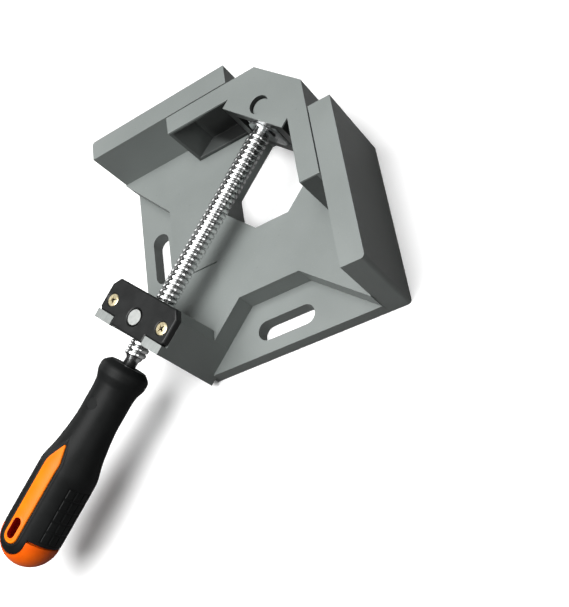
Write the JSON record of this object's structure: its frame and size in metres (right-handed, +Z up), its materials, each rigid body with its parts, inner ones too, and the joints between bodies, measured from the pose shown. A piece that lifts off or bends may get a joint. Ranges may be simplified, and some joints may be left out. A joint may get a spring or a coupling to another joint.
{
  "type": "corner clamp",
  "caption": "Die-cast right-angle corner clamp: a swinging jaw on a hand-turned screw presses two boards into the corner between two fences.",
  "frame": {"origin": "the corner where the inner faces of the two fences would meet, at the level of the base's underside", "axes": "+Z up from the bench; +X along the inner face of one fence and +Y along the inner face of the other; the screw runs level along the diagonal between them, with the handle at its far end"},
  "size_m": [0.2627, 0.2627, 0.0626],
  "materials": {
    "grey_paint": "satin",
    "black_steel": "satin",
    "yellow_zinc": "satin",
    "bright_zinc": "satin",
    "pin_steel": "satin",
    "spring_steel": "satin",
    "orange_plastic": "satin",
    "black_rubber": "matte",
    "black_plastic": "matte"
  },
  "bodies": {
    "base": {"base_casting": "grey_paint", "nut_cap": "black_steel", "nut_cap_screws": "yellow_zinc", "nut_washer": "bright_zinc"},
    "nut": {"nut_block": "bright_zinc", "nut_pivot_upper": "pin_steel", "nut_pivot_lower": "pin_steel"},
    "tip": {"tip_block": "bright_zinc", "jaw_pivot_upper": "pin_steel", "jaw_pivot_lower": "pin_steel"},
    "screw": {"lead_screw": "bright_zinc", "tip_washer": "bright_zinc", "tip_retaining_ring": "spring_steel", "handle_core": "orange_plastic", "handle_grip": "black_rubber", "handle_cross_pin": "pin_steel", "handle_plugs": "black_plastic"},
    "jaw": {"swing_jaw": "grey_paint"}
  },
  "joints": [
    {"name": "nut_swivel", "type": "hinge", "parent": "base", "child": "nut", "pos_m": [0.12997, 0.12997, 0.0445], "axis": [0, 0, 1], "range_deg": [-0.15, 0.15]},
    {"name": "screw_feed", "type": "slide", "parent": "nut", "child": "tip", "axis": [0.7071, 0.7071, 0], "range_m": [0, 0.09]},
    {"name": "screw_spin", "type": "hinge", "parent": "tip", "child": "screw", "pos_m": [0.03592, 0.03592, 0.0445], "axis": [0.7071, 0.7071, 0], "range_deg": [0, 9530]},
    {"name": "jaw_pivot", "type": "hinge", "parent": "tip", "child": "jaw", "pos_m": [0.02949, 0.02949, 0.0445], "axis": [0, 0, 1], "range_deg": [-0.25, 0.25]}
  ],
  "couplings": [
    {"joint": "screw_spin", "follows": "screw_feed", "rad_per_m": 1848}
  ]
}
